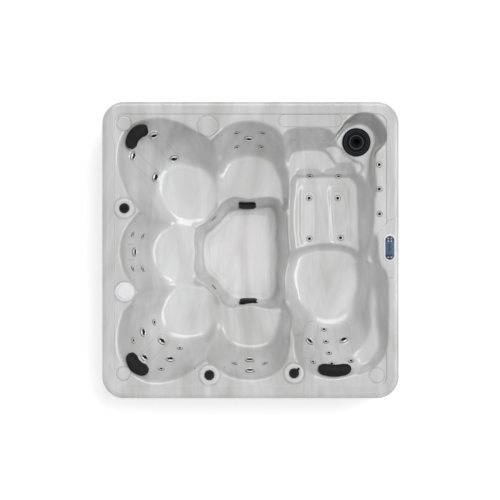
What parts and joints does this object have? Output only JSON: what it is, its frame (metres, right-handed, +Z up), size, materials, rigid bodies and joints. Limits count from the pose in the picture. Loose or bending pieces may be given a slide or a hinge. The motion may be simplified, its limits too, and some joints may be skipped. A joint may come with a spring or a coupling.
{
  "type": "hot tub",
  "caption": "Square moulded hot tub with contoured seats, a lounger, turning jets, a lift-out corner filter and a boarded cabinet.",
  "frame": {"origin": "centre of the base pan's underside", "axes": "+Z up; +X towards the control panel; +Y towards the corner filter and the entry step"},
  "size_m": [2.1, 2.1, 0.9256],
  "materials": {
    "pearl_acrylic": "high gloss marbled pearl",
    "pillow_foam": "matt closed-cell foam",
    "jet_steel": "polished",
    "heater_steel": "satin",
    "white_plastic": "satin white",
    "black_plastic": "satin black",
    "housing_grey": "satin grey",
    "filter_paper": "pleated filter cloth",
    "screen_blue": "gloss overlay",
    "key_pale": "satin",
    "base_black": "matt black",
    "treated_timber": "sawn, treated",
    "cabinet_board": "wood grain composite",
    "corner_trim": "satin dark grey",
    "pump_paint": "satin black paint over a cast body",
    "white_pvc": "satin"
  },
  "bodies": {
    "tub": {"air_bottom_plate": "white_plastic", "air_left_plate": "white_plastic", "base_pan": "base_black", "cabinet_panel_back": "cabinet_board", "cabinet_panel_front": "cabinet_board", "cabinet_panel_left": "cabinet_board", "cabinet_panel_right": "cabinet_board", "cap_socket": "white_plastic", "control_box": "housing_grey", "corner_trim_1": "corner_trim", "corner_trim_2": "corner_trim", "corner_trim_3": "corner_trim", "corner_trim_4": "corner_trim", "diverter_plate": "white_plastic", "filter_housing": "housing_grey", "frame_post_1": "treated_timber", "frame_post_2": "treated_timber", "frame_post_3": "treated_timber", "frame_post_4": "treated_timber", "frame_rail": "treated_timber", "heater": "heater_steel", "heater_pipe": "white_pvc", "jet_pump_1": "pump_paint", "jet_pump_2": "pump_paint", "panel_bezel": "white_plastic", "panel_screen": "screen_blue", "pillow_bl": "pillow_foam", "pillow_lounge": "pillow_foam", "pillow_tl": "pillow_foam", "shell": "pearl_acrylic", "suction_cover_bottom": "black_plastic", "suction_cover_top": "black_plastic", "suction_pipe_1": "white_pvc", "suction_pipe_2": "white_pvc"},
    "air_left_knob": {"air_left_knob": "black_plastic"},
    "air_bottom_knob": {"air_bottom_knob": "black_plastic"},
    "diverter_knob": {"diverter_knob": "black_plastic"},
    "deck_cap": {"deck_cap": "white_plastic"},
    "panel_key_1": {"panel_key_1": "key_pale"},
    "panel_key_2": {"panel_key_2": "key_pale"},
    "panel_key_3": {"panel_key_3": "key_pale"},
    "panel_key_4": {"panel_key_4": "key_pale"},
    "panel_key_5": {"panel_key_5": "key_pale"},
    "panel_key_6": {"panel_key_6": "key_pale"},
    "filter": {"filter_lid": "black_plastic", "filter_cartridge": "filter_paper"},
    "jet_tl_1": {"jet_tl_1": "jet_steel"},
    "jet_tl_2": {"jet_tl_2": "jet_steel"},
    "jet_tl_3": {"jet_tl_3": "jet_steel"},
    "jet_tl_4": {"jet_tl_4": "jet_steel"},
    "jet_top": {"jet_top": "jet_steel"},
    "jet_left": {"jet_left": "jet_steel"},
    "jet_bl_1": {"jet_bl_1": "jet_steel"},
    "jet_bl_2": {"jet_bl_2": "jet_steel"},
    "jet_bl_3": {"jet_bl_3": "jet_steel"},
    "jet_bl_4": {"jet_bl_4": "jet_steel"},
    "jet_bottom_1": {"jet_bottom_1": "jet_steel"},
    "jet_bottom_2": {"jet_bottom_2": "jet_steel"},
    "jet_lounge_1": {"jet_lounge_1": "jet_steel"},
    "jet_lounge_2": {"jet_lounge_2": "jet_steel"}
  },
  "joints": [
    {"name": "air_left_knob_turn", "type": "hinge", "parent": "tub", "child": "air_left_knob", "pos_m": [-0.89232, 0.29556, 0.893], "axis": [0, 0, 1], "range_deg": [0, 120]},
    {"name": "air_bottom_knob_turn", "type": "hinge", "parent": "tub", "child": "air_bottom_knob", "pos_m": [-0.29061, -0.88455, 0.893], "axis": [0, 0, 1], "range_deg": [0, 120]},
    {"name": "diverter_knob_turn", "type": "hinge", "parent": "tub", "child": "diverter_knob", "pos_m": [0.30828, -0.87182, 0.893], "axis": [0, 0, 1], "range_deg": [0, 180]},
    {"name": "deck_cap_turn", "type": "hinge", "parent": "tub", "child": "deck_cap", "pos_m": [-0.8902, -0.29556, 0.893], "axis": [0, 0, 1], "range_deg": [0, 90]},
    {"name": "panel_key_1_press", "type": "slide", "parent": "tub", "child": "panel_key_1", "axis": [0, 0, -1], "range_m": [0, 0.001], "stiffness_N_per_m": 300, "springref_m": -0.001},
    {"name": "panel_key_2_press", "type": "slide", "parent": "tub", "child": "panel_key_2", "axis": [0, 0, -1], "range_m": [0, 0.001], "stiffness_N_per_m": 300, "springref_m": -0.001},
    {"name": "panel_key_3_press", "type": "slide", "parent": "tub", "child": "panel_key_3", "axis": [0, 0, -1], "range_m": [0, 0.001], "stiffness_N_per_m": 300, "springref_m": -0.001},
    {"name": "panel_key_4_press", "type": "slide", "parent": "tub", "child": "panel_key_4", "axis": [0, 0, -1], "range_m": [0, 0.001], "stiffness_N_per_m": 300, "springref_m": -0.001},
    {"name": "panel_key_5_press", "type": "slide", "parent": "tub", "child": "panel_key_5", "axis": [0, 0, -1], "range_m": [0, 0.001], "stiffness_N_per_m": 300, "springref_m": -0.001},
    {"name": "panel_key_6_press", "type": "slide", "parent": "tub", "child": "panel_key_6", "axis": [0, 0, -1], "range_m": [0, 0.001], "stiffness_N_per_m": 300, "springref_m": -0.001},
    {"name": "filter_lift", "type": "slide", "parent": "tub", "child": "filter", "axis": [0, 0, 1], "range_m": [0, 0.3]},
    {"name": "jet_tl_1_turn", "type": "hinge", "parent": "tub", "child": "jet_tl_1", "pos_m": [-0.68615, 0.81584, 0.74872], "axis": [0.2212, -0.759, 0.6123], "range_deg": [0, 90]},
    {"name": "jet_tl_2_turn", "type": "hinge", "parent": "tub", "child": "jet_tl_2", "pos_m": [-0.83294, 0.66909, 0.74651], "axis": [0.7856, -0.2013, 0.5851], "range_deg": [0, 90]},
    {"name": "jet_tl_3_turn", "type": "hinge", "parent": "tub", "child": "jet_tl_3", "pos_m": [-0.54651, 0.65387, 0.49939], "axis": [0.1451, -0.7475, 0.6482], "range_deg": [0, 90]},
    {"name": "jet_tl_4_turn", "type": "hinge", "parent": "tub", "child": "jet_tl_4", "pos_m": [-0.67988, 0.52073, 0.48857], "axis": [0.7131, -0.2301, 0.6622], "range_deg": [0, 90]},
    {"name": "jet_top_turn", "type": "hinge", "parent": "tub", "child": "jet_top", "pos_m": [-0.01215, 0.79377, 0.67979], "axis": [0.0288, -0.8808, 0.4726], "range_deg": [0, 90]},
    {"name": "jet_left_turn", "type": "hinge", "parent": "tub", "child": "jet_left", "pos_m": [-0.825, -0.01485, 0.69181], "axis": [0.9085, -0.0003, 0.4179], "range_deg": [0, 90]},
    {"name": "jet_bl_1_turn", "type": "hinge", "parent": "tub", "child": "jet_bl_1", "pos_m": [-0.76597, -0.58388, 0.64371], "axis": [0.8133, 0.1187, 0.5697], "range_deg": [0, 90]},
    {"name": "jet_bl_2_turn", "type": "hinge", "parent": "tub", "child": "jet_bl_2", "pos_m": [-0.63364, -0.64964, 0.52899], "axis": [0.4947, 0.5944, 0.6339], "range_deg": [0, 90]},
    {"name": "jet_bl_3_turn", "type": "hinge", "parent": "tub", "child": "jet_bl_3", "pos_m": [-0.75321, -0.76416, 0.73321], "axis": [0.5105, 0.5872, 0.6282], "range_deg": [0, 90]},
    {"name": "jet_bl_4_turn", "type": "hinge", "parent": "tub", "child": "jet_bl_4", "pos_m": [-0.57079, -0.77661, 0.66227], "axis": [0.0395, 0.8344, 0.5498], "range_deg": [0, 90]},
    {"name": "jet_bottom_1_turn", "type": "hinge", "parent": "tub", "child": "jet_bottom_1", "pos_m": [-0.00651, -0.784, 0.60809], "axis": [0.0331, 0.9102, 0.4128], "range_deg": [0, 90]},
    {"name": "jet_bottom_2_turn", "type": "hinge", "parent": "tub", "child": "jet_bottom_2", "pos_m": [-0.00435, -0.85612, 0.76707], "axis": [0.0228, 0.9106, 0.4127], "range_deg": [0, 90]},
    {"name": "jet_lounge_1_turn", "type": "hinge", "parent": "tub", "child": "jet_lounge_1", "pos_m": [0.41963, -0.64834, 0.6487], "axis": [0.5541, 0.6182, 0.5575], "range_deg": [0, 90]},
    {"name": "jet_lounge_2_turn", "type": "hinge", "parent": "tub", "child": "jet_lounge_2", "pos_m": [0.66449, -0.64029, 0.60711], "axis": [-0.2786, 0.7155, 0.6406], "range_deg": [0, 90]}
  ]
}
